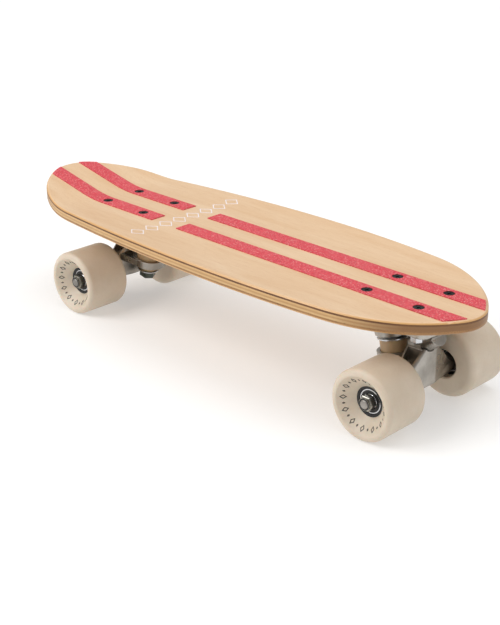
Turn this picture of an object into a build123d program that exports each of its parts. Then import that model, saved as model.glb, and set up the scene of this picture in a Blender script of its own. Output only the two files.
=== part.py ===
"""Small cruiser skateboard: seven-ply maple deck with a kick tail, two cast trucks, four wheels.

Millimetres.  +X runs towards the nose, +Z up, Y across.  The origin is on the ground under
the middle of the deck's length, so the wheels stand on z = 0.
"""
from build123d import *

import math
import os

os.makedirs("parts", exist_ok=True)

# ---------------------------------------------------------------- driving dimensions
# deck
deck_length = 530.0
deck_half_width = 87.0          # at the widest point
widest_x = 40.0
nose_tip_radius = 34.0          # plan outline: radii at the tips, and the degrees that the
nose_side_angle = 6.6           # long side arc and the shoulder arc turn through
nose_shoulder_angle = 53.0
tail_tip_radius = 48.0
tail_side_angle = 8.0
tail_shoulder_angle = 50.0
ply_count = 7
ply_thickness = 1.6
deck_bottom_z = 91.2            # underside of the flat middle
flat_half_width = 32.0          # the middle is flat, the sides curl up beyond this
side_curl_radius = 457.0
kick_angle = 11.6               # degrees
kick_corner_x = -188.0          # where the flat and the kick would meet without a bend
kick_bend_radius = 148.0
edge_rounding = 2.2

# grip strips
strip_thickness = 0.8
strip_width = 17.5
strip_edge_inset = 2.4
front_strip_start_x = -62.0
tail_strip_start_x = -97.0

# deck bolts, a standard hole pattern
bolt_spacing_x = 53.98
bolt_spacing_y = 41.28
bolt_radius = 2.4
bolt_hole_radius = 2.6
bolt_head_radius = 4.85
countersink_radius = 4.6         # in the deck's face
strip_hole_radius = 5.0
recess_length = 5.0
recess_width = 1.2
recess_depth = 1.6
bolt_length = 31.75
bolt_head_rise = 0.4            # the head's top above the deck, below the strip's top
nut_across_flats = 9.53
nut_height = 6.0

# trucks
wheelbase = 338.0               # between the two hole patterns
front_truck_x = 192.0
riser_thickness = 6.35
plate_length = 78.0
plate_width = 56.0
plate_thickness = 6.0
axle_outboard = 18.0            # the axle lies this far outboard of the hole pattern
axle_radius = 3.97
axle_half_length = 75.3
kingpin_lean = 12.0             # degrees from vertical, the nut end outboard
ring_outboard = -9.2            # centre of the hanger's ring
ring_height = 43.8
steering_angle = 36.0           # degrees from horizontal, ring to pivot
plate_corner_radius = 9.0
rib_depth = 4.0                 # the plate's middle rib, between boss and pivot housing
rib_half_width = 5.0
beam_radius = 8.8               # the round axle beam
beam_end_radius = 8.2
beam_end_y = 41.5
body_half_depth = 10.0          # the hanger's upright body, each side of the axle
body_flat_half = 7.0
body_top = 63.0
body_inset = 1.5                # the body starts this far inside the beam's skin
body_corner = 2.5
shoulder_end_y = 33.0
pocket_wall = 3.0

# kingpin stack: distances along the leaning kingpin from the ring's centre, up to the deck
boss_face = 18.5
boss_radius = 15.8
boss_taper = 4.0                # degrees, wider towards the plate
kingpin_radius = 4.76
kingpin_head_seat = 34.0
kingpin_head_height = 6.0
kingpin_tip = -20.0
kingpin_nut_across_flats = 14.3
kingpin_nut_height = 6.0
ring_radius = 16.2
ring_half_height = 4.0
ring_hole_radius = 6.0          # wide enough for the hanger to tilt on its bushings
ring_seat_radius = 13.2
ring_seat_high = 1.5
ring_seat_low = -2.0
web_half_thickness = 3.2
bushing_radius = 12.7
bushing_gap = 0.05
road_bushing_tip_radius = 8.6
road_washer_end = -13.5
board_washer_radius = 14.6
road_washer_radius = 11.2
washer_sheet = 1.6
washer_depth = 2.6
washer_lip = 1.0

# pivot: distances along the steering axis from the ring's centre
nose_radius = 5.5
nose_clearance = 0.1
nose_centre = 43.5
arm_start = 24.0
arm_radius = 9.5
arm_end = 36.9
arm_end_radius = 7.4
pivot_cup_radius = 7.8
cup_mouth = 37.4
cup_end = 50.3
housing_mouth = 38.0
housing_radius = 10.0
housing_length = 13.5
housing_clearance = 0.9
gusset_length = 26.0            # the housing flares into the plate
gusset_width = 30.0
gusset_depth = 12.0
gusset_taper = 40.0

# wheels
wheel_radius = 31.5
wheel_width = 48.5
wheel_inner_face_y = 31.5
outer_shoulder_radius = 4.5
inner_shoulder_radius = 6.0
dish_outer_radius = 25.9        # the outer face is dished from here down to the core
dish_edge_radius = 2.4
dish_depth = 12.5
inner_recess_radius = 12.8
core_outer_radius = 13.4
core_start = 9.0                # measured from the wheel's inner face
core_end = 36.0
core_lip_radius = 9.8           # the step between the two bearings
bearing_outer_radius = 11.0
bearing_bore_radius = 4.0
bearing_width = 7.0
inner_bearing_start = 11.0      # measured from the wheel's inner face
outer_bearing_start = 28.0
ball_radius = 1.985
ball_pitch_radius = 7.75
ball_count = 7
race_clearance = 0.06
outer_race_radius = 9.1
inner_race_radius = 6.4
shield_inner_radius = 6.7
shield_outer_radius = 9.7
shield_thickness = 0.5
shield_inset = 0.25
speed_washer_radius = 5.6
speed_washer_thickness = 1.0
axle_nut_across_flats = 12.7
axle_nut_height = 5.6
axle_nut_collar_radius = 5.4
axle_nut_collar_height = 1.4

# ---------------------------------------------------------------- worked-out sizes
deck_thickness = ply_count * ply_thickness
deck_top_z = deck_bottom_z + deck_thickness
half_length = deck_length / 2
strip_centre_y = bolt_spacing_y / 2
rear_truck_x = front_truck_x - wheelbase
cut_reach = 60.0                # longer than anything it cuts


def save(piece, name, place=Location()):
    """Put a finished piece in its place, label it and write its STEP file."""
    placed = piece.moved(place)
    placed.label = name
    export_step(placed, f"parts/{name}.step")


# ================================================================ DECK
# The spine is the deck's top line seen from the side: flat, a soft bend, then the kick.
with BuildLine(Plane.XZ) as spine:
    beyond_nose = (half_length + 10, deck_top_z)
    kick_corner = (kick_corner_x, deck_top_z)
    kick_run = kick_corner_x + half_length + 15
    beyond_tail = (kick_corner_x - kick_run, deck_top_z + kick_run * math.tan(math.radians(kick_angle)))
    FilletPolyline(beyond_nose, kick_corner, beyond_tail, radius=kick_bend_radius)

section_plane = Plane(origin=(half_length + 10, 0, deck_top_z), x_dir=(0, 1, 0), z_dir=(1, 0, 0))
curl_angle = math.degrees(math.asin((deck_half_width + 8 - flat_half_width) / side_curl_radius))


def curled_section(top_depth, bottom_depth):
    """Cross-section between two depths under the deck's top: flat middle, sides curling up."""
    with BuildSketch(section_plane) as section:
        with BuildLine():
            for depth in (top_depth, bottom_depth):
                radius = side_curl_radius + depth
                Line((-flat_half_width, -depth), (flat_half_width, -depth))
                CenterArc((flat_half_width, side_curl_radius), radius, -90, curl_angle)
                CenterArc((-flat_half_width, side_curl_radius), radius, -90, -curl_angle)
            for side in (1, -1):
                ends = []
                for depth in (top_depth, bottom_depth):
                    radius = side_curl_radius + depth
                    y = side * (flat_half_width + radius * math.sin(math.radians(curl_angle)))
                    ends.append((y, side_curl_radius - radius * math.cos(math.radians(curl_angle))))
                Line(*ends)
        make_face()
    return section.sketch


def end_arcs(reach, tip_radius, side_angle, shoulder_angle):
    """Three tangent arcs from the widest point to a tip: their radii and angles.

    The side's and the shoulder's radii follow from the reach and the deck's half width.
    """
    side = math.radians(side_angle)
    turned = math.radians(side_angle + shoulder_angle)
    # side_radius * a + shoulder_radius * b = along,  side_radius * c + shoulder_radius * d = across
    a, b = math.sin(side), math.sin(turned) - math.sin(side)
    c, d = 1 - math.cos(side), math.cos(side) - math.cos(turned)
    along = reach - tip_radius * (1 - math.sin(turned))
    across = deck_half_width - tip_radius * math.cos(turned)
    side_radius = (along * d - across * b) / (a * d - b * c)
    shoulder_radius = (a * across - c * along) / (a * d - b * c)
    tip_angle = 90 - side_angle - shoulder_angle
    return (side_radius, side_angle), (shoulder_radius, shoulder_angle), (tip_radius, tip_angle)


# Plan outline: round nose, gently bowed sides that narrow towards a rounded tail.
with BuildSketch() as outline:
    with BuildLine():
        for end, tip_radius, side_angle, shoulder_angle in (
            (1, nose_tip_radius, nose_side_angle, nose_shoulder_angle),
            (-1, tail_tip_radius, tail_side_angle, tail_shoulder_angle),
        ):
            reach = half_length - end * widest_x
            start = Vector(widest_x, deck_half_width)
            heading = Vector(end, 0)
            for radius, angle in end_arcs(reach, tip_radius, side_angle, shoulder_angle):
                arc = JernArc(start, heading, radius, -end * angle)
                start = arc @ 1
                heading = arc % 1
        mirror(about=Plane.XZ)
    make_face()

# The whole deck in one piece, rounded over along both edges and drilled.
bolt_grid = GridLocations(bolt_spacing_x, bolt_spacing_y, 2, 2)
bolt_places = [
    Location((truck_x, 0, deck_top_z)) * place
    for truck_x in (front_truck_x, rear_truck_x)
    for place in bolt_grid
]
with BuildPart() as deck_blank:
    with BuildSketch():
        add(outline.sketch)
    extrude(amount=deck_top_z + cut_reach)
    sweep(curled_section(0, deck_thickness), path=spine.line, mode=Mode.INTERSECT)
    walls = deck_blank.faces().filter_by(lambda face: abs(face.normal_at().Z) < 0.05)
    rims = [edge for wall in walls for edge in wall.edges() if edge.geom_type != GeomType.LINE]
    fillet(rims, radius=edge_rounding)
    with Locations(*bolt_places):
        CounterSinkHole(bolt_hole_radius, countersink_radius, counter_sink_angle=90)

# The blank is cut along its glue lines into plies, numbered from the top.
for number in range(1, ply_count + 1):
    ply_top = (number - 1) * ply_thickness - (1 if number == 1 else 0)
    ply_bottom = number * ply_thickness + (1 if number == ply_count else 0)
    with BuildPart() as ply:
        add(deck_blank.part)
        sweep(curled_section(ply_top, ply_bottom), path=spine.line, mode=Mode.INTERSECT)
    save(ply.part, f"deck_ply_{number}")

# Four grit strips, two by two, along the lines of bolts.
for end, start_x, end_x in (
    ("front", front_strip_start_x, half_length),
    ("tail", -half_length, tail_strip_start_x),
):
    for hand, side in (("left", 1), ("right", -1)):
        with BuildPart() as strip:
            with BuildSketch(section_plane):
                with Locations((side * strip_centre_y, strip_thickness / 2)):
                    Rectangle(strip_width, strip_thickness)
            sweep(path=spine.line)
            with BuildSketch():
                add(outline.sketch)
                offset(amount=-strip_edge_inset, mode=Mode.REPLACE)
                with Locations(((start_x + end_x) / 2, side * strip_centre_y)):
                    Rectangle(end_x - start_x, 2 * strip_width, mode=Mode.INTERSECT)
            extrude(amount=deck_top_z + cut_reach, mode=Mode.INTERSECT)
            with Locations(*bolt_places):
                Hole(strip_hole_radius)
        save(strip.part, f"grip_strip_{end}_{hand}")

# ================================================================ DECK BOLTS
# Countersunk bolts with a cross recess, and their hexagon nuts under the baseplates.
with BuildPart() as deck_bolt:
    with BuildSketch(Plane.XZ):
        with BuildLine():
            cone_depth = bolt_head_radius - bolt_radius
            Polyline(
                (0, bolt_head_rise),
                (bolt_head_radius, bolt_head_rise),
                (bolt_radius, bolt_head_rise - cone_depth),
                (bolt_radius, bolt_head_rise - bolt_length + 0.6),
                (bolt_radius - 0.6, bolt_head_rise - bolt_length),
                (0, bolt_head_rise - bolt_length),
                close=True,
            )
        make_face()
    revolve(axis=Axis.Z)
    with BuildSketch(Plane.XY.offset(bolt_head_rise)):
        Rectangle(recess_length, recess_width)
        Rectangle(recess_width, recess_length)
    extrude(amount=-recess_depth, taper=12, mode=Mode.SUBTRACT)

with BuildPart() as deck_bolts:
    with Locations(*bolt_places):
        add(deck_bolt.part)
save(deck_bolts.part, "deck_bolts")

plate_bottom_z = deck_bottom_z - riser_thickness - plate_thickness
with BuildPart() as deck_nut:
    with BuildSketch(Plane.XY.offset(plate_bottom_z - deck_top_z)):
        RegularPolygon(nut_across_flats / 2, 6, major_radius=False)
    extrude(amount=-nut_height)
    chamfer(deck_nut.edges().group_by(Axis.Z)[0], length=0.5)
    with Locations((0, 0, plate_bottom_z - deck_top_z)):
        Hole(bolt_radius + 0.02, depth=nut_height)

with BuildPart() as deck_nuts:
    with Locations(*bolt_places):
        add(deck_nut.part)
save(deck_nuts.part, "deck_nuts")

# ================================================================ TRUCKS
# Each truck is drawn once with +X outboard, the hole pattern's centre on the Z axis and
# heights measured from the ground.  The rear truck is the same one turned half round.
truck_places = {
    "front": Location((front_truck_x, 0, 0)),
    "rear": Location((rear_truck_x, 0, 0), (0, 0, 180)),
}
lean = math.radians(kingpin_lean)
steer = math.radians(steering_angle)
ring_centre = Vector(ring_outboard, 0, ring_height)
plate_top_z = deck_bottom_z - riser_thickness
pattern_grid = GridLocations(bolt_spacing_x, bolt_spacing_y, 2, 2)

# Local Z of the first plane runs up the kingpin, of the second from the ring to the pivot.
kingpin_plane = Plane(
    ring_centre, x_dir=(math.cos(lean), 0, math.sin(lean)), z_dir=(-math.sin(lean), 0, math.cos(lean))
)
steering_plane = Plane(
    ring_centre, x_dir=(math.sin(steer), 0, -math.cos(steer)), z_dir=(math.cos(steer), 0, math.sin(steer))
)
kingpin_axis = Axis(ring_centre, kingpin_plane.z_dir)
steering_axis = Axis(ring_centre, steering_plane.z_dir)


def profile_plane(face_plane):
    """Plane through a turning axis: local X is the radius, local Y runs along the axis."""
    return Plane(
        face_plane.origin, x_dir=face_plane.x_dir, z_dir=face_plane.x_dir.cross(face_plane.z_dir)
    )


def profile(plane, *points):
    """Closed outline through the given (radius, height) points."""
    with BuildSketch(plane) as sketch:
        with BuildLine():
            Polyline(*points, close=True)
        make_face()
    return sketch.sketch


def disc(plane, radius):
    """Round face on a plane."""
    with BuildSketch(plane) as sketch:
        Circle(radius)
    return sketch.sketch


def hexagon(plane, across_flats):
    """Hexagonal face on a plane."""
    with BuildSketch(plane) as sketch:
        RegularPolygon(across_flats / 2, 6, major_radius=False)
    return sketch.sketch


def save_both(piece, name):
    """Write a truck piece twice, once for each end of the board."""
    for end, place in truck_places.items():
        save(piece, f"{end}_{name}", place)


# ---- riser pad and baseplate
with BuildSketch() as plate_outline:
    RectangleRounded(plate_length, plate_width, plate_corner_radius)
    with Locations(*pattern_grid):
        Circle(bolt_hole_radius, mode=Mode.SUBTRACT)

with BuildPart() as riser_pads:
    with BuildSketch(Plane.XY.offset(plate_top_z)):
        with Locations((front_truck_x, 0), (rear_truck_x, 0)):
            add(plate_outline.sketch)
    extrude(amount=riser_thickness)
save(riser_pads.part, "riser_pads")

with BuildPart() as baseplate:
    # the kingpin's boss, the pivot's housing and a rib between them reach up into the plate
    extrude(disc(kingpin_plane.offset(boss_face), boss_radius), amount=cut_reach, taper=-boss_taper)
    extrude(disc(steering_plane.offset(housing_mouth), housing_radius), amount=housing_length)
    rib = profile(
        Plane.XZ,
        (ring_outboard - 8, plate_bottom_z + 1),
        (ring_outboard, plate_bottom_z - rib_depth),
        (axle_outboard + 8, plate_bottom_z - rib_depth),
        (plate_length / 2 - 2, plate_bottom_z + 1),
    )
    extrude(rib, amount=rib_half_width, both=True)
    split(bisect_by=Plane.XY.offset(plate_bottom_z + plate_thickness / 2), keep=Keep.BOTTOM)
    with BuildSketch(Plane.XY.offset(plate_bottom_z)):
        RectangleRounded(plate_length, plate_width, plate_corner_radius)
    extrude(amount=plate_thickness)
    with BuildSketch(Plane.XY.offset(plate_bottom_z)):
        with Locations(((plate_length - gusset_length) / 2, 0)):
            Rectangle(gusset_length, gusset_width)
    extrude(amount=-gusset_depth, taper=gusset_taper)
    with Locations((0, 0, plate_top_z)):
        with Locations(*pattern_grid):
            Hole(bolt_hole_radius, depth=cut_reach)
    # pocket and hole for the kingpin, blind socket for the pivot cup
    head_pocket = hexagon(kingpin_plane.offset(kingpin_head_seat), kingpin_nut_across_flats + 0.2)
    extrude(head_pocket, amount=cut_reach, mode=Mode.SUBTRACT)
    extrude(disc(kingpin_plane, kingpin_radius + 0.1), amount=cut_reach, mode=Mode.SUBTRACT)
    socket = disc(steering_plane.offset(housing_mouth), pivot_cup_radius + 0.05)
    extrude(socket, amount=cup_end - housing_mouth + 0.1, mode=Mode.SUBTRACT)
save_both(baseplate.part, "baseplate")

# ---- pivot cup: a plastic thimble that the hanger's nose turns in
cavity_radius = nose_radius + nose_clearance
with BuildPart() as pivot_cup:
    revolve(
        profile(
            profile_plane(steering_plane),
            (0, cup_mouth),
            (pivot_cup_radius, cup_mouth),
            (pivot_cup_radius, cup_end),
            (0, cup_end),
        ),
        axis=steering_axis,
    )
    extrude(disc(steering_plane, cavity_radius), amount=nose_centre, mode=Mode.SUBTRACT)
    with Locations(steering_plane.offset(nose_centre).location):
        Sphere(cavity_radius, mode=Mode.SUBTRACT)
save_both(pivot_cup.part, "pivot_cup")

# ---- kingpin, its nut, the cup washers and the bushings, all on the leaning axis
with BuildPart() as kingpin:
    head = hexagon(kingpin_plane.offset(kingpin_head_seat), kingpin_nut_across_flats)
    extrude(head, amount=kingpin_head_height)
    shank = disc(kingpin_plane.offset(kingpin_tip), kingpin_radius)
    extrude(shank, amount=kingpin_head_seat - kingpin_tip)
    chamfer(kingpin.edges().sort_by(kingpin_axis)[0], length=0.8)
save_both(kingpin.part, "kingpin")

with BuildPart() as kingpin_nut:
    nut_top = kingpin_plane.offset(road_washer_end)
    extrude(hexagon(nut_top, kingpin_nut_across_flats), amount=-kingpin_nut_height)
    chamfer(kingpin_nut.edges().group_by(kingpin_axis)[0], length=1.0)
    extrude(disc(nut_top, kingpin_radius + 0.02), amount=-kingpin_nut_height, mode=Mode.SUBTRACT)
save_both(kingpin_nut.part, "kingpin_nut")


def cup_washer(seat, towards, rim_radius):
    """Dished washer: flat on its seat, with a skirt that reaches round the bushing's end."""
    bore = kingpin_radius + 0.15
    return profile(
        profile_plane(kingpin_plane),
        (bore, seat),
        (rim_radius - 3.5, seat),
        (rim_radius, seat + towards * washer_depth),
        (rim_radius, seat + towards * (washer_depth + washer_lip)),
        (rim_radius - washer_sheet, seat + towards * (washer_depth + washer_lip)),
        (rim_radius - washer_sheet, seat + towards * (washer_depth + washer_sheet * 0.4)),
        (rim_radius - 3.9, seat + towards * washer_sheet),
        (bore, seat + towards * washer_sheet),
    )


with BuildPart() as kingpin_washers:
    revolve(cup_washer(boss_face, -1, board_washer_radius), axis=kingpin_axis)
    revolve(cup_washer(road_washer_end, 1, road_washer_radius), axis=kingpin_axis)
save_both(kingpin_washers.part, "kingpin_washers")

bushing_bore = kingpin_radius + 0.2
with BuildPart() as board_bushing:
    revolve(
        profile(
            profile_plane(kingpin_plane),
            (bushing_bore, ring_seat_high + bushing_gap),
            (bushing_radius - 0.8, ring_seat_high + bushing_gap),
            (bushing_radius, ring_seat_high + 0.8),
            (bushing_radius, boss_face - washer_depth - 0.8),
            (bushing_radius - 0.8, boss_face - washer_depth),
            (bushing_radius - 3.2, boss_face - washer_sheet - bushing_gap),
            (bushing_bore, boss_face - washer_sheet - bushing_gap),
        ),
        axis=kingpin_axis,
    )
save_both(board_bushing.part, "board_bushing")

with BuildPart() as road_bushing:
    washer_floor = road_washer_end + washer_sheet + bushing_gap
    revolve(
        profile(
            profile_plane(kingpin_plane),
            (bushing_bore, ring_seat_low - bushing_gap),
            (bushing_radius - 0.6, ring_seat_low - bushing_gap),
            (bushing_radius, ring_seat_low - 0.8),
            (road_bushing_tip_radius, washer_floor + 1.0),
            (road_bushing_tip_radius - 1.6, washer_floor),
            (bushing_bore, washer_floor),
        ),
        axis=kingpin_axis,
    )
save_both(road_bushing.part, "road_bushing")

# ---- hanger: ring, flared web, upright body, axle beam and pivot nose in one casting
axle_plane = Plane((axle_outboard, 0, wheel_radius), x_dir=(1, 0, 0), z_dir=(0, 0, 1))
axle_line = Axis((axle_outboard, 0, wheel_radius), (0, 1, 0))
beam_top = wheel_radius + beam_radius
body_bottom = wheel_radius - beam_radius + body_inset


def body_section(y, width, low_z, high_z, corner):
    """Rounded upright section of the body, above the axle, at a distance y from the middle."""
    with BuildSketch(Plane.XZ.offset(-y)) as sketch:
        with Locations((axle_outboard, (low_z + high_z) / 2)):
            RectangleRounded(width, high_z - low_z, corner)
    return sketch.sketch


with BuildPart() as hanger:
    # the body's shoulders slope from the middle down to the axle beam; each has a pocket
    shoulder_end = 2 * (beam_radius - body_inset)
    loft([
        body_section(body_flat_half, 2 * body_half_depth, body_bottom, body_top, body_corner),
        body_section(
            shoulder_end_y, shoulder_end, body_bottom, body_bottom + shoulder_end, shoulder_end / 2 - 1.5
        ),
    ])
    pocket_width = 2 * (body_half_depth - pocket_wall)
    loft(
        [
            body_section(body_flat_half + pocket_wall, pocket_width, beam_top + 5, body_top + 12, 3),
            body_section(shoulder_end_y - 6, pocket_width - 5, beam_top + 2.5, beam_top + 18, 3),
        ],
        mode=Mode.SUBTRACT,
    )
    mirror(about=Plane.XZ)
    middle = body_section(0, 2 * body_half_depth, body_bottom, body_top, body_corner)
    extrude(middle, amount=body_flat_half, both=True)
    revolve(
        profile(
            axle_plane,
            (0, -beam_end_y),
            (beam_end_radius, -beam_end_y),
            (beam_radius, -shoulder_end_y),
            (beam_radius, shoulder_end_y),
            (beam_end_radius, beam_end_y),
            (0, beam_end_y),
        ),
        axis=axle_line,
    )
    # ring and the web that flares from it into the body
    extrude(disc(kingpin_plane, ring_radius), amount=ring_half_height, both=True)
    web_reach = (axle_outboard - body_half_depth + 1.5 - ring_outboard) / math.cos(lean)
    web = profile(
        kingpin_plane,
        (0, ring_radius),
        (web_reach, ring_radius + 7),
        (web_reach, -ring_radius - 7),
        (0, -ring_radius),
    )
    extrude(web, amount=web_half_thickness, both=True)
    # room for the pivot housing, then the arm and its round-ended nose
    housing_room = disc(steering_plane.offset(arm_end - 0.3), housing_radius + housing_clearance)
    extrude(housing_room, amount=cut_reach, mode=Mode.SUBTRACT)
    revolve(
        profile(
            profile_plane(steering_plane),
            (0, arm_start),
            (arm_radius - 1.5, arm_start),
            (arm_radius, arm_start + 1.5),
            (arm_end_radius, arm_end),
            (nose_radius, arm_end),
            (nose_radius, nose_centre),
            (0, nose_centre),
        ),
        axis=steering_axis,
    )
    with Locations(steering_plane.offset(nose_centre).location):
        Sphere(nose_radius)
    # kingpin hole and a seat for a bushing on each face of the ring
    above_ring = boss_face - ring_seat_high
    extrude(disc(kingpin_plane, ring_hole_radius), amount=above_ring, both=True, mode=Mode.SUBTRACT)
    high_seat = disc(kingpin_plane.offset(ring_seat_high), ring_seat_radius)
    extrude(high_seat, amount=above_ring, mode=Mode.SUBTRACT)
    low_seat = disc(kingpin_plane.offset(ring_seat_low), ring_seat_radius)
    extrude(low_seat, amount=-above_ring, mode=Mode.SUBTRACT)
    # bore for the axle
    axle_bore = disc(Plane(axle_line.position, z_dir=axle_line.direction), axle_radius + 0.02)
    extrude(axle_bore, amount=cut_reach, both=True, mode=Mode.SUBTRACT)
save_both(hanger.part, "hanger")

# ---- axle and what is threaded on it; (radius, distance from the middle) profiles
with BuildPart() as axle:
    revolve(
        profile(
            axle_plane,
            (0, -axle_half_length),
            (axle_radius - 0.7, -axle_half_length),
            (axle_radius, -axle_half_length + 0.7),
            (axle_radius, axle_half_length - 0.7),
            (axle_radius - 0.7, axle_half_length),
            (0, axle_half_length),
        ),
        axis=axle_line,
    )
save_both(axle.part, "axle")

inner_bearing_y = wheel_inner_face_y + inner_bearing_start
outer_bearing_end_y = wheel_inner_face_y + outer_bearing_start + bearing_width
nut_start_y = outer_bearing_end_y + speed_washer_thickness
axle_across = Plane((axle_outboard, 0, wheel_radius), x_dir=(1, 0, 0), z_dir=(0, 1, 0))

with BuildPart() as speed_washers:
    for start_y in (inner_bearing_y - speed_washer_thickness, outer_bearing_end_y):
        with BuildSketch(axle_across.offset(start_y)):
            Circle(speed_washer_radius)
            Circle(axle_radius + 0.1, mode=Mode.SUBTRACT)
        extrude(amount=speed_washer_thickness)
    mirror(about=Plane.XZ)
save_both(speed_washers.part, "speed_washers")

with BuildPart() as axle_nuts:
    extrude(hexagon(axle_across.offset(nut_start_y), axle_nut_across_flats), amount=axle_nut_height)
    chamfer(axle_nuts.edges().group_by(Axis.Y)[-1], length=0.7)
    collar = disc(axle_across.offset(nut_start_y), axle_nut_collar_radius)
    extrude(collar, amount=axle_nut_height + axle_nut_collar_height)
    axle_hole = disc(axle_across.offset(nut_start_y), axle_radius + 0.02)
    extrude(axle_hole, amount=cut_reach, mode=Mode.SUBTRACT)
    mirror(about=Plane.XZ)
save_both(axle_nuts.part, "axle_nuts")

# ================================================================ WHEELS
# Each wheel is drawn once round the Y axis with its inner face at y = 0 and +Y outboard.
front_axle_x = front_truck_x + axle_outboard
rear_axle_x = rear_truck_x - axle_outboard
wheel_places = {
    f"{end}_{hand}": Location((axle_x, side * wheel_inner_face_y, wheel_radius), (0, 0, turn))
    for end, axle_x in (("front", front_axle_x), ("rear", rear_axle_x))
    for hand, side, turn in (("left", 1, 0), ("right", -1, 180))
}
bearing_starts = (inner_bearing_start, outer_bearing_start)


def save_wheels(piece, name):
    """Write a wheel piece four times, once for each corner of the board."""
    for corner, place in wheel_places.items():
        save(piece, f"wheel_{corner}_{name}", place)


def race_groove(bearing_start):
    """Round groove, a little wider than the balls, turned about the wheel's axis."""
    with BuildSketch() as sketch:
        with Locations((ball_pitch_radius, bearing_start + bearing_width / 2)):
            Circle(ball_radius + race_clearance)
    return sketch.sketch


with BuildPart() as tyre:
    with BuildSketch() as tyre_profile:
        with BuildLine():
            Polyline(
                (core_outer_radius, core_start),
                (inner_recess_radius, core_start),
                (inner_recess_radius, 1.2),
                (inner_recess_radius + 1.2, 0),
                (wheel_radius, 0),
                (wheel_radius, wheel_width),
                (dish_outer_radius, wheel_width),
                (core_outer_radius, wheel_width - dish_depth),
                close=True,
            )
        make_face()
        fillet(tyre_profile.vertices().group_by(Axis.X)[-1].sort_by(Axis.Y)[0], radius=inner_shoulder_radius)
        fillet(tyre_profile.vertices().group_by(Axis.X)[-1].sort_by(Axis.Y)[-1], radius=outer_shoulder_radius)
        fillet(tyre_profile.vertices().group_by(Axis.Y)[-1].sort_by(Axis.X)[0], radius=dish_edge_radius)
    revolve(axis=Axis.Y)
save_wheels(tyre.part, "tyre")

with BuildPart() as core:
    outer_seat_end = outer_bearing_start + bearing_width
    revolve(
        profile(
            Plane.XY,
            (core_outer_radius, core_start),
            (bearing_outer_radius + 1.2, core_start),
            (bearing_outer_radius, core_start + 1.6),
            (bearing_outer_radius, inner_bearing_start + bearing_width),
            (core_lip_radius, inner_bearing_start + bearing_width),
            (core_lip_radius, outer_bearing_start),
            (bearing_outer_radius, outer_bearing_start),
            (bearing_outer_radius, outer_seat_end + 0.6),
            (bearing_outer_radius + 1.0, core_end),
            (core_outer_radius, core_end),
        ),
        axis=Axis.Y,
    )
save_wheels(core.part, "core")

with BuildPart() as outer_rings:
    for start in bearing_starts:
        end = start + bearing_width
        pocket = shield_inset + shield_thickness + 0.15
        revolve(
            profile(
                Plane.XY,
                (bearing_outer_radius - 0.4, start),
                (bearing_outer_radius, start + 0.4),
                (bearing_outer_radius, end - 0.4),
                (bearing_outer_radius - 0.4, end),
                (shield_outer_radius + 0.05, end),
                (shield_outer_radius + 0.05, end - pocket),
                (outer_race_radius, end - pocket),
                (outer_race_radius, start + pocket),
                (shield_outer_radius + 0.05, start + pocket),
                (shield_outer_radius + 0.05, start),
            ),
            axis=Axis.Y,
        )
        revolve(race_groove(start), axis=Axis.Y, mode=Mode.SUBTRACT)
save_wheels(outer_rings.part, "bearing_outer_rings")

with BuildPart() as inner_rings:
    for start in bearing_starts:
        end = start + bearing_width
        revolve(
            profile(
                Plane.XY,
                (bearing_bore_radius, start),
                (inner_race_radius - 0.3, start),
                (inner_race_radius, start + 0.3),
                (inner_race_radius, end - 0.3),
                (inner_race_radius - 0.3, end),
                (bearing_bore_radius, end),
            ),
            axis=Axis.Y,
        )
        revolve(race_groove(start), axis=Axis.Y, mode=Mode.SUBTRACT)
save_wheels(inner_rings.part, "bearing_inner_rings")

with BuildPart() as shields:
    for start in bearing_starts:
        for face in (start + shield_inset, start + bearing_width - shield_inset - shield_thickness):
            revolve(
                profile(
                    Plane.XY,
                    (shield_inner_radius, face),
                    (shield_outer_radius, face),
                    (shield_outer_radius, face + shield_thickness),
                    (shield_inner_radius, face + shield_thickness),
                ),
                axis=Axis.Y,
            )
save_wheels(shields.part, "bearing_shields")

with BuildPart() as balls:
    for start in bearing_starts:
        ball_plane = Plane((0, start + bearing_width / 2, 0), x_dir=(1, 0, 0), z_dir=(0, 1, 0))
        with Locations(ball_plane):
            with PolarLocations(ball_pitch_radius, ball_count):
                Sphere(ball_radius)
save_wheels(balls.part, "bearing_balls")
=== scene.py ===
"""Looks of a small maple cruiser skateboard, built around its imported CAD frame.

Metres throughout, in the frame of the CAD: +X towards the nose, +Z up, the ground at z = 0.
"""

import math

import bmesh
import bpy
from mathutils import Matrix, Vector


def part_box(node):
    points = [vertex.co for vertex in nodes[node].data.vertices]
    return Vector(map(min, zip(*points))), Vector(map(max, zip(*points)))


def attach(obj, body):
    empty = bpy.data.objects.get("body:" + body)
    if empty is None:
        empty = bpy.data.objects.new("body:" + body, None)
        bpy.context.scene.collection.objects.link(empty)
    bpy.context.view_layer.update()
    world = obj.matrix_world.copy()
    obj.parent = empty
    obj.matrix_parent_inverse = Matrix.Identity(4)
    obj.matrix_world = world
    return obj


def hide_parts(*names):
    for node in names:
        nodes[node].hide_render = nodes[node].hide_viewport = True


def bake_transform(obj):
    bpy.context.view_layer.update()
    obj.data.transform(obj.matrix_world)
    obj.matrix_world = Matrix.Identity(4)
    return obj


MM = 0.001

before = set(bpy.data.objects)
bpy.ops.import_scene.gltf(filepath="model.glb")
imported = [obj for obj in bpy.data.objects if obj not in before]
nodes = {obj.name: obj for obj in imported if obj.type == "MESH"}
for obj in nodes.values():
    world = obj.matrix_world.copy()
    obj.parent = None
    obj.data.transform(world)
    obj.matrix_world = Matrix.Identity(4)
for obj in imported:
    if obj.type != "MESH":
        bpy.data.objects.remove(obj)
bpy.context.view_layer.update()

ENDS = ("front", "rear")
CORNERS = [f"{end}_{hand}" for end in ENDS for hand in ("left", "right")]


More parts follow.
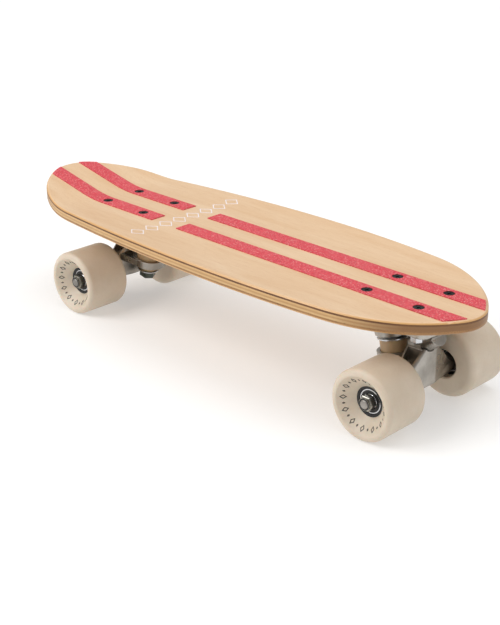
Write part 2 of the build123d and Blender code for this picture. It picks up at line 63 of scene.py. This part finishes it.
def srgb(red, green, blue):
    """Linear colour from 8-bit display values."""
    def linear(value):
        value /= 255
        return value / 12.92 if value <= 0.04045 else ((value + 0.055) / 1.055) ** 2.4

    return (linear(red), linear(green), linear(blue), 1.0)


# ------------------------------------------------------------------ camera and light
CAMERA_PLACE = (0.76347, -0.76502, 0.49416)
CAMERA_AZIMUTH = 44.62         # degrees
CAMERA_ELEVATION = 23.44
CAMERA_ROLL = 0.08
FOCAL_LENGTH = 70.97           # millimetres, on a sensor of SENSOR_WIDTH
SENSOR_WIDTH = 36.0
AMBIENT = 0.39                 # strength of the even light from all round

camera_data = bpy.data.cameras.new("camera")
camera_data.lens = FOCAL_LENGTH
camera_data.sensor_width = SENSOR_WIDTH
camera_data.clip_end = 100.0   # beyond the floor's corners
camera = bpy.data.objects.new("camera", camera_data)
camera.location = CAMERA_PLACE
camera.rotation_euler = [math.radians(turn) for turn in (90 - CAMERA_ELEVATION, CAMERA_ROLL, CAMERA_AZIMUTH)]
bpy.context.scene.collection.objects.link(camera)
bpy.context.scene.camera = camera


def softbox(name, place, target, size, power):
    """Square area light at a place, facing a target."""
    data = bpy.data.lights.new(name, "AREA")
    data.shape = "SQUARE"
    data.size = size
    data.energy = power
    light = bpy.data.objects.new(name, data)
    light.location = place
    light.rotation_euler = (Vector(target) - Vector(place)).to_track_quat("-Z", "Y").to_euler()
    bpy.context.scene.collection.objects.link(light)


softbox("key", place=(-0.9, -1.6, 1.6), target=(0, 0, 0.05), size=1.6, power=36)
softbox("top", place=(0.2, 0.5, 2.2), target=(0, 0, 0), size=2.4, power=26)
softbox("side", place=(1.5, 0.5, 1.0), target=(0.2, 0, 0.05), size=0.9, power=3.4)

world = bpy.data.worlds.new("studio")
world.use_nodes = True
background = world.node_tree.nodes["Background"]
background.inputs["Color"].default_value = (1.0, 0.99, 0.98, 1.0)
background.inputs["Strength"].default_value = AMBIENT
bpy.context.scene.world = world
bpy.context.scene.view_settings.view_transform = "Standard"


# ------------------------------------------------------------------ material helpers
class Finish:
    """A procedural material: a Principled shader with textures in the piece's own coordinates."""

    def __init__(self, name, **constants):
        self.material = bpy.data.materials.new(name)
        self.material.use_nodes = True
        self.tree = self.material.node_tree
        self.shader = self.tree.nodes["Principled BSDF"]
        for key, value in constants.items():
            self.shader.inputs[key.replace("_", " ")].default_value = value
        self.place = self.add("ShaderNodeTexCoord").outputs["Object"]
        self.normal = None

    def add(self, kind, sockets=None, **settings):
        """New node with its settings; a socket takes a value or another node's output."""
        node = self.tree.nodes.new(kind)
        for key, value in settings.items():
            setattr(node, key, value)
        for key, value in (sockets or {}).items():
            self.feed(node.inputs[key], value)
        return node

    def feed(self, socket, value):
        if isinstance(value, bpy.types.NodeSocket):
            self.tree.links.new(value, socket)
        else:
            socket.default_value = value

    def stretched(self, *scale):
        """The piece's coordinates, scaled along x, y and z."""
        return self.add("ShaderNodeMapping", {"Vector": self.place, "Scale": scale}).outputs[0]

    def noise(self, scale, detail=3.0, roughness=0.5, distortion=0.0, place=None):
        sockets = {
            "Vector": place or self.place,
            "Scale": scale,
            "Detail": detail,
            "Roughness": roughness,
            "Distortion": distortion,
        }
        return self.add("ShaderNodeTexNoise", sockets).outputs[0]

    def cells(self, scale, output="Color"):
        """Voronoi cells: a random colour each, or the distance to a centre."""
        return self.add("ShaderNodeTexVoronoi", {"Vector": self.place, "Scale": scale}).outputs[output]

    def between(self, value, low, high, out_low=0.0, out_high=1.0):
        """Value moved from one range to another, and clamped there."""
        sockets = {0: value, 1: low, 2: high, 3: out_low, 4: out_high}
        return self.add("ShaderNodeMapRange", sockets).outputs[0]

    def facing(self, axis):
        """How squarely the surface faces along an axis, either way: 0 to 1."""
        normal = self.add("ShaderNodeTexCoord").outputs["Normal"]
        part = self.add("ShaderNodeSeparateXYZ", {0: normal}).outputs[axis]
        return self.add("ShaderNodeMath", {0: part}, operation="ABSOLUTE").outputs[0]

    def mix(self, share, first, second):
        """Colours mixed; share and either colour may come from a node."""
        node = self.add("ShaderNodeMix", data_type="RGBA")
        for key, value in (("Factor_Float", share), ("A_Color", first), ("B_Color", second)):
            socket = next(s for s in node.inputs if s.identifier == key)
            self.feed(socket, value)
        return next(s for s in node.outputs if s.identifier == "Result_Color")

    def colour(self, value):
        self.feed(self.shader.inputs["Base Color"], value)

    def rough(self, value):
        self.feed(self.shader.inputs["Roughness"], value)

    def bump(self, height, distance):
        """One more layer of relief, distance metres high."""
        sockets = {"Height": height, "Distance": distance, "Strength": 1.0}
        if self.normal is not None:
            sockets["Normal"] = self.normal
        self.normal = self.add("ShaderNodeBump", sockets).outputs[0]
        self.feed(self.shader.inputs["Normal"], self.normal)

    def soft_edges(self, radius):
        """Sharp edges catch the light as if rounded to this radius; comes before any bump."""
        self.normal = self.add("ShaderNodeBevel", {"Radius": radius}, samples=4).outputs[0]

    def on(self, *objects):
        """Give these objects this material alone."""
        for thing in objects:
            thing.data.materials.clear()
            thing.data.materials.append(self.material)


# ------------------------------------------------------------------ wood
def maple(name, pale, deep, fibre_dark, edge_tint_and_shade=None, end_tint_and_shade=None, dullness=0.34, coat=0.25):
    """Lacquered maple veneer with its grain along X.

    Broad soft figure, fine fibres and short dark flecks.  Where the surface turns away from
    the face, on the rounded rim, it takes the edge tint: partly wood cut across its layers and
    partly painted shade of the rim turning away from the light.  Round the nose and the tail it
    takes the end tint: partly fibres cut across, which drink more lacquer, and partly painted
    shade of ends that face away from the light.
    """
    wood = Finish(name, Coat_Weight=coat, Coat_Roughness=0.22)
    figure = wood.noise(7.0, roughness=0.55, distortion=0.6, place=wood.stretched(1.0, 9.0, 9.0))
    bands = wood.noise(22.0, detail=2.0, distortion=0.3, place=wood.stretched(1.0, 16.0, 16.0))
    fibre = wood.noise(70.0, roughness=0.6, place=wood.stretched(1.0, 22.0, 22.0))
    fleck = wood.noise(190.0, detail=1.0, place=wood.stretched(1.0, 7.0, 7.0))
    tone = wood.mix(wood.between(figure, 0.32, 0.68), pale, deep)
    tone = wood.mix(wood.between(bands, 0.45, 0.75, 0.0, 0.35), tone, deep)
    tone = wood.mix(wood.between(fibre, 0.52, 0.74, 0.0, 0.30), tone, fibre_dark)
    tone = wood.mix(wood.between(fleck, 0.66, 0.74, 0.0, 0.35), tone, fibre_dark)
    if edge_tint_and_shade:
        # Edge tint, partly painted shade: darker as the rim turns away from the face.
        tone = wood.mix(wood.between(wood.facing("Z"), 0.70, 0.985, 0.85, 0.0), tone, edge_tint_and_shade)
    if end_tint_and_shade:
        # End tint, partly painted shade: darker where the surface faces along X, at the nose and the tail.
        tone = wood.mix(wood.between(wood.facing("X"), 0.21, 0.62, 0.0, 0.92), tone, end_tint_and_shade)
    wood.colour(tone)
    wood.rough(wood.between(fibre, 0.3, 0.7, dullness - 0.05, dullness + 0.10))
    wood.bump(fibre, 0.04 * MM)
    return wood


# The face's golden edge tint is partly painted shade of the rounded rim.
face_maple = maple(
    "maple_face", srgb(230, 199, 163), srgb(221, 184, 143), srgb(192, 145, 100), edge_tint_and_shade=srgb(206, 154, 88)
)
# The underside's maple is the face's maple darkened, as painted shade of a face turned down. Its edge and
# end tints are partly painted shade too.
bottom_maple = maple(
    "maple_bottom", srgb(216, 180, 136), srgb(200, 158, 112), srgb(166, 120, 76),
    edge_tint_and_shade=srgb(208, 160, 100), end_tint_and_shade=srgb(158, 112, 64),
)


def core_maple(number, pale, deep, fibre_dark):
    """A long-grain ply inside the deck, seen only along the edge."""
    name = f"maple_ply_{number}"
    # Its end tint is partly painted shade of the ends, as on the face.
    return maple(name, pale, deep, fibre_dark, end_tint_and_shade=srgb(134, 92, 50), dullness=0.45, coat=0.08)


def cross_ply(number, light, dark):
    """A ply whose grain runs across the deck: its edge is dark and full of cut pores, and darker still with
    painted shade of the edge.
    """
    wood = Finish(f"maple_ply_{number}", Coat_Weight=0.06, Coat_Roughness=0.3)
    pores = wood.noise(900.0, detail=2.0, roughness=0.6, place=wood.stretched(1.0, 1.0, 2.5))
    drift = wood.noise(30.0, detail=2.0)
    tone = wood.mix(wood.between(drift, 0.35, 0.65), light, dark)
    tone = wood.mix(wood.between(pores, 0.5, 0.7, 0.0, 0.6), tone, srgb(74, 46, 24))
    wood.colour(tone)
    wood.rough(wood.between(pores, 0.3, 0.7, 0.45, 0.6))
    wood.bump(pores, 0.06 * MM)
    return wood


# The plies' colours along the deck's edge are partly the wood's own and partly painted shade of the edge,
# which faces away from the light.
plies = [
    face_maple,
    cross_ply(2, srgb(124, 80, 40), srgb(102, 64, 32)),
    core_maple(3, srgb(216, 178, 124), srgb(200, 160, 106), srgb(166, 122, 74)),
    core_maple(4, srgb(196, 154, 102), srgb(180, 138, 88), srgb(146, 104, 60)),
    core_maple(5, srgb(214, 178, 126), srgb(198, 160, 108), srgb(164, 122, 76)),
    cross_ply(6, srgb(170, 124, 74), srgb(150, 106, 60)),
    bottom_maple,
]
for number, ply in enumerate(plies, start=1):
    ply.on(nodes[f"deck_ply_{number}"])

# ------------------------------------------------------------------ grit
GRIT_CELLS = 1500.0            # grains to a metre

grit = Finish("grit")
grain = grit.add("ShaderNodeSeparateColor", {0: grit.cells(GRIT_CELLS)})
speck = grain.outputs[0]
tone = grit.mix(speck, srgb(196, 44, 58), srgb(226, 84, 94))
tone = grit.mix(grit.between(grain.outputs[1], 0.78, 0.98, 0.0, 0.55), tone, srgb(250, 196, 190))
tone = grit.mix(grit.between(grain.outputs[2], 0.86, 1.0, 0.0, 0.5), tone, srgb(120, 14, 28))
grit.colour(tone)
grit.rough(grit.between(speck, 0.0, 1.0, 0.55, 0.85))
grit.bump(grit.cells(GRIT_CELLS, output="Distance"), 0.25 * MM)
grit.bump(grit.noise(5200.0, detail=2.0), 0.08 * MM)
grit.on(*[nodes[f"grip_strip_{end}_{hand}"] for end in ("front", "tail") for hand in ("left", "right")])


# ------------------------------------------------------------------ metals and plastics
def metal(name, light, dark, roughness, grain_size, relief, edge=0.3 * MM):
    """Bare metal: cloudy tone, a rough-smooth drift and fine relief of a given grain size."""
    steel = Finish(name, Metallic=1.0)
    steel.soft_edges(edge)
    clouds = steel.noise(45.0, detail=4.0, roughness=0.6)
    grains = steel.noise(1.0 / grain_size, roughness=0.6)
    tone = steel.mix(steel.between(clouds, 0.35, 0.65), light, dark)
    tone = steel.mix(steel.between(grains, 0.55, 0.75, 0.0, 0.35), tone, dark)
    steel.colour(tone)
    steel.rough(steel.between(clouds, 0.3, 0.7, roughness - 0.06, roughness + 0.06))
    steel.bump(grains, relief)
    return steel


def plastic(name, light, dark, roughness, grain_size, relief, **constants):
    """Moulded plastic, rubber or urethane: slight tone drift and a fine moulded texture."""
    skin = Finish(name, **constants)
    clouds = skin.noise(35.0)
    grains = skin.noise(1.0 / grain_size, detail=2.0, roughness=0.6)
    skin.colour(skin.mix(skin.between(clouds, 0.35, 0.65), light, dark))
    skin.rough(skin.between(grains, 0.3, 0.7, roughness - 0.06, roughness + 0.08))
    skin.bump(grains, relief)
    return skin


cast = metal(
    "cast_aluminium", srgb(186, 181, 174), srgb(152, 148, 141), 0.31, 0.9 * MM, 0.06 * MM, edge=0.9 * MM
)
zinc = metal("zinc_steel", srgb(214, 216, 218), srgb(180, 183, 188), 0.24, 0.3 * MM, 0.01 * MM)
nickel = metal("axle_nut_steel", srgb(176, 174, 166), srgb(132, 130, 122), 0.3, 0.3 * MM, 0.02 * MM)
axle_steel = metal("axle_steel", srgb(168, 164, 158), srgb(134, 131, 126), 0.5, 0.3 * MM, 0.03 * MM)
dark_zinc = metal("dark_steel", srgb(98, 104, 98), srgb(66, 72, 66), 0.34, 0.3 * MM, 0.02 * MM)
bearing_steel = metal("bearing_steel", srgb(216, 216, 218), srgb(190, 190, 194), 0.16, 0.25 * MM, 0.004 * MM)
black_oxide = metal("black_oxide", srgb(62, 74, 72), srgb(34, 42, 42), 0.36, 0.4 * MM, 0.02 * MM)
black_nylon = plastic("black_nylon", srgb(28, 28, 29), srgb(18, 18, 19), 0.48, 0.4 * MM, 0.02 * MM)
black_rubber = plastic("black_rubber", srgb(36, 36, 36), srgb(24, 24, 24), 0.7, 0.5 * MM, 0.04 * MM)
bushing = plastic(
    "bushing", srgb(194, 166, 128), srgb(174, 145, 107), 0.42, 0.8 * MM, 0.02 * MM,
    Subsurface_Weight=0.15, Subsurface_Scale=2.0 * MM,
)

for end in ENDS:
    cast.on(nodes[f"{end}_baseplate"], nodes[f"{end}_hanger"])
    zinc.on(nodes[f"{end}_kingpin_washers"], nodes[f"{end}_speed_washers"])
    axle_steel.on(nodes[f"{end}_axle"])
    nickel.on(nodes[f"{end}_axle_nuts"])
    dark_zinc.on(nodes[f"{end}_kingpin"], nodes[f"{end}_kingpin_nut"])
    black_nylon.on(nodes[f"{end}_pivot_cup"])
zinc.on(nodes["deck_nuts"])
black_oxide.on(nodes["deck_bolts"])
black_rubber.on(nodes["riser_pads"])
for corner in CORNERS:
    bearing = f"wheel_{corner}_bearing"
    # The wheels' cores are black: the dark ring round each bearing and in each wheel's inner recess.
    black_nylon.on(nodes[f"wheel_{corner}_core"], nodes[f"{bearing}_shields"])
    bearing_steel.on(*[nodes[f"{bearing}_{part}"] for part in ("outer_rings", "inner_rings", "balls")])


# ------------------------------------------------------------------ mesh helpers
def new_piece(name, shell, finish, data=None):
    """Object with one material from a bmesh, which is used up; data is a mesh to write it into."""
    data = data or bpy.data.meshes.new(name)
    shell.to_mesh(data)
    shell.free()
    piece = bpy.data.objects.new(name, data)
    bpy.context.scene.collection.objects.link(piece)
    finish.on(piece)
    return piece


def looped(name, loops, body, finish):
    """Piece made of closed rings, riding on a body.

    Each loop is a list of sections round the ring, and each section a closed outline of points.
    """
    shell = bmesh.new()
    for sections in loops:
        rings = [[shell.verts.new(point) for point in section] for section in sections]
        for one, other in zip(rings, rings[1:] + rings[:1]):
            for a in range(len(one)):
                b = (a + 1) % len(one)
                shell.faces.new((one[a], one[b], other[b], other[a]))
    bmesh.ops.recalc_face_normals(shell, faces=shell.faces)
    piece = new_piece(name, shell, finish)
    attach(piece, body)
    return piece


def middle(node):
    """Middle of a node's box."""
    low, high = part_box(node)
    return Vector((a + b) / 2 for a, b in zip(low, high))


# ------------------------------------------------------------------ nut inserts
# The nylon locking insert of each axle nut shows as a dark ring round the axle's tip; the ring is partly a
# dark piece put as painted shade round the tip.
INSERT_INNER = 4.05 * MM
INSERT_OUTER = 5.15 * MM
INSERT_PROUD = 0.20 * MM
INSERT_DEPTH = 0.50 * MM
INSERT_BEVEL = 0.10 * MM
INSERT_SIDES = 64


def insert_sections(centre, face_y, outward):
    """Sections round the insert, which stands proud of the nut's face at face_y."""
    outline = [
        (INSERT_INNER, -INSERT_DEPTH),
        (INSERT_INNER, INSERT_PROUD - INSERT_BEVEL),
        (INSERT_INNER + INSERT_BEVEL, INSERT_PROUD),
        (INSERT_OUTER - INSERT_BEVEL, INSERT_PROUD),
        (INSERT_OUTER, INSERT_PROUD - INSERT_BEVEL),
        (INSERT_OUTER, -INSERT_DEPTH),
    ]
    sections = []
    for side in range(INSERT_SIDES):
        turn = 2 * math.pi * side / INSERT_SIDES
        sections.append([
            (centre.x + r * math.cos(turn), face_y + outward * out, centre.z + r * math.sin(turn))
            for r, out in outline
        ])
    return sections


for end in ENDS:
    low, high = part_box(f"{end}_axle_nuts")
    for hand, face_y, outward in (("left", high[1], 1), ("right", low[1], -1)):
        sections = insert_sections(middle(f"{end}_axle"), face_y, outward)
        insert = looped(f"axle_nut_insert_{end}_{hand}", [sections], f"{end}_truck", black_nylon)

# ------------------------------------------------------------------ bushings
# Each bushing is remade from the CAD shape, sliced across the kingpin, in place of the
# CAD bushing, which is hidden.
BUSHING_CUTS = 12


def soft_bushing(end, which):
    """The CAD bushing's shape, cut into slices along the kingpin."""
    node = f"{end}_{which}_bushing"
    up_kingpin = (middle(f"{end}_board_bushing") - middle(f"{end}_kingpin_nut")).normalized()
    to_ring = up_kingpin if which == "road" else -up_kingpin
    data = nodes[node].data.copy()
    shell = bmesh.new()
    shell.from_mesh(data)
    reach = [vertex.co.dot(to_ring) for vertex in shell.verts]
    first, last = min(reach), max(reach)
    for cut in range(1, BUSHING_CUTS):
        level = first + (last - first) * cut / BUSHING_CUTS
        everything = shell.verts[:] + shell.edges[:] + shell.faces[:]
        bmesh.ops.bisect_plane(shell, geom=everything, plane_co=to_ring * level, plane_no=to_ring)
    piece = new_piece(f"{node}_soft", shell, bushing, data)
    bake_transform(piece)
    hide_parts(node)


for end in ENDS:
    for which in ("board", "road"):
        soft_bushing(end, which)

# ------------------------------------------------------------------ wheels
urethane = Finish(
    "urethane", Subsurface_Weight=0.12, Subsurface_Scale=3.0 * MM, Coat_Weight=0.1, Coat_Roughness=0.4
)
clouds = urethane.noise(28.0, detail=4.0, roughness=0.55)
mottle = urethane.noise(420.0, roughness=0.6)
tone = urethane.mix(urethane.between(clouds, 0.35, 0.65), srgb(215, 201, 182), srgb(204, 188, 167))
tone = urethane.mix(urethane.between(mottle, 0.56, 0.76, 0.0, 0.18), tone, srgb(186, 168, 148))
urethane.colour(tone)
urethane.rough(urethane.between(mottle, 0.3, 0.7, 0.42, 0.56))
urethane.bump(mottle, 0.02 * MM)
for corner in CORNERS:
    urethane.on(nodes[f"wheel_{corner}_tyre"])


# ------------------------------------------------------------------ printed marks
def ink(name, shade, roughness):
    """Screen-printed ink: slightly uneven cover over a fine grain."""
    print_ink = Finish(name)
    cover = print_ink.noise(700.0, roughness=0.6)
    thin_shade = tuple(channel * 0.86 for channel in shade[:3]) + (1.0,)
    print_ink.colour(print_ink.mix(print_ink.between(cover, 0.35, 0.6), thin_shade, shade))
    print_ink.rough(print_ink.between(cover, 0.3, 0.7, roughness - 0.05, roughness + 0.08))
    print_ink.bump(cover, 0.01 * MM)
    return print_ink


INK_ABOVE = 0.16 * MM
INK_BELOW = 0.10 * MM

# A row of open diamonds across the deck, between the two pairs of grit strips.
HEAD_PROUD = 0.4 * MM          # how far the bolts' heads stand above the bare deck
DECK_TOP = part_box("deck_bolts")[1][2] - HEAD_PROUD
FLAT_HALF_WIDTH = 32.0 * MM
CURL_RADIUS = 457.0 * MM
ROW_X = (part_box("grip_strip_tail_left")[1][0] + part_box("grip_strip_front_left")[0][0]) / 2
ROW_LENGTH = 124.0 * MM
DIAMONDS = 8
DIAMOND_HALF_X = 9.2 * MM
DIAMOND_HALF_Y = 7.6 * MM
DECK_LINE = 0.16               # the line's width, as a share of the diamond's half size
SIDE_STEPS = 6


def deck_height(y):
    """Height of the deck's top at a distance y from the centre line, ahead of the kick."""
    beyond = max(abs(y) - FLAT_HALF_WIDTH, 0.0)
    return DECK_TOP + CURL_RADIUS - math.sqrt(CURL_RADIUS**2 - beyond**2)


def open_diamond(place, line):
    """Sections round a diamond; place(across, along, lift) maps its unit shape to space."""
    corners = [(1, 0), (0, 1), (-1, 0), (0, -1)]
    outline = ((1.0, INK_ABOVE), (1.0 - line, INK_ABOVE), (1.0 - line, -INK_BELOW), (1.0, -INK_BELOW))
    sections = []
    for corner, following in zip(corners, corners[1:] + corners[:1]):
        for step in range(SIDE_STEPS):
            share = step / SIDE_STEPS
            across, along = (a + (b - a) * share for a, b in zip(corner, following))
            sections.append([place(across * size, along * size, lift) for size, lift in outline])
    return sections


def deck_diamond(middle_y):
    """Diamond on the deck, its line following the deck's curve."""
    def place(across, along, lift):
        y = middle_y + along * DIAMOND_HALF_Y
        return ROW_X + across * DIAMOND_HALF_X, y, deck_height(y) + lift

    return open_diamond(place, DECK_LINE)


spacing = ROW_LENGTH / (DIAMONDS - 1)
row = [deck_diamond(spacing * number - ROW_LENGTH / 2) for number in range(DIAMONDS)]
looped("deck_print", row, "deck", ink("white_ink", srgb(244, 236, 240), 0.45))

# A ring of large and small open diamonds in each wheel's dish.
DISH_RADIUS = 25.9 * MM        # where the dish's cone would meet the outer face
DISH_SLOPE = math.radians(45)
RING_RADIUS = 21.3 * MM
RING_COUNT = 24
LARGE_HALF_HEIGHT = 2.3 * MM
LARGE_HALF_WIDTH = 1.9 * MM
LARGE_LINE = 0.36
SMALL_SHARE = 0.45             # a small diamond's size, as a share of a large one's
SMALL_LINE = 0.70


def dish_diamond(number, centre, face_y, outward):
    """Diamond on the dish's cone, at its place round the ring."""
    turn = 2 * math.pi * number / RING_COUNT
    share, line = (SMALL_SHARE, SMALL_LINE) if number % 2 else (1.0, LARGE_LINE)

    def place(across, along, lift):
        radius = RING_RADIUS + along * share * LARGE_HALF_HEIGHT
        angle = turn + across * share * LARGE_HALF_WIDTH / RING_RADIUS
        reach = radius - lift * math.sin(DISH_SLOPE)
        depth = (DISH_RADIUS - radius) * math.tan(DISH_SLOPE) - lift * math.cos(DISH_SLOPE)
        return (
            centre.x + reach * math.cos(angle),
            face_y - outward * depth,
            centre.z + reach * math.sin(angle),
        )

    return open_diamond(place, line)


black_ink = ink("black_ink", srgb(40, 38, 36), 0.5)
for corner in CORNERS:
    tyre = f"wheel_{corner}_tyre"
    centre = middle(tyre)
    low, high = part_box(tyre)
    outward, face_y = (1, high[1]) if corner.endswith("left") else (-1, low[1])
    ring = [dish_diamond(number, centre, face_y, outward) for number in range(RING_COUNT)]
    looped(f"wheel_{corner}_print", ring, f"wheel_{corner}", black_ink)

# ------------------------------------------------------------------ floor
# White paper that glows a little, and more further out, so that shadows and distance stay light.
FLOOR_SIZE = 80.0
GLOW_REACH = (0.5, 2.5)        # distances from the middle, between which the glow grows
GLOW_STRENGTH = (0.355, 0.65)

paper = Finish("paper", Roughness=0.8, Emission_Color=(0.98, 0.995, 1.0, 1.0))
paper.colour(srgb(212, 211, 210))
distance = paper.add("ShaderNodeVectorMath", {0: paper.place}, operation="LENGTH").outputs["Value"]
glow = paper.between(distance, *GLOW_REACH, *GLOW_STRENGTH)
paper.feed(paper.shader.inputs["Emission Strength"], glow)
bpy.ops.mesh.primitive_plane_add(size=FLOOR_SIZE)
floor = bpy.context.object
floor.name = "floor"
paper.on(floor)
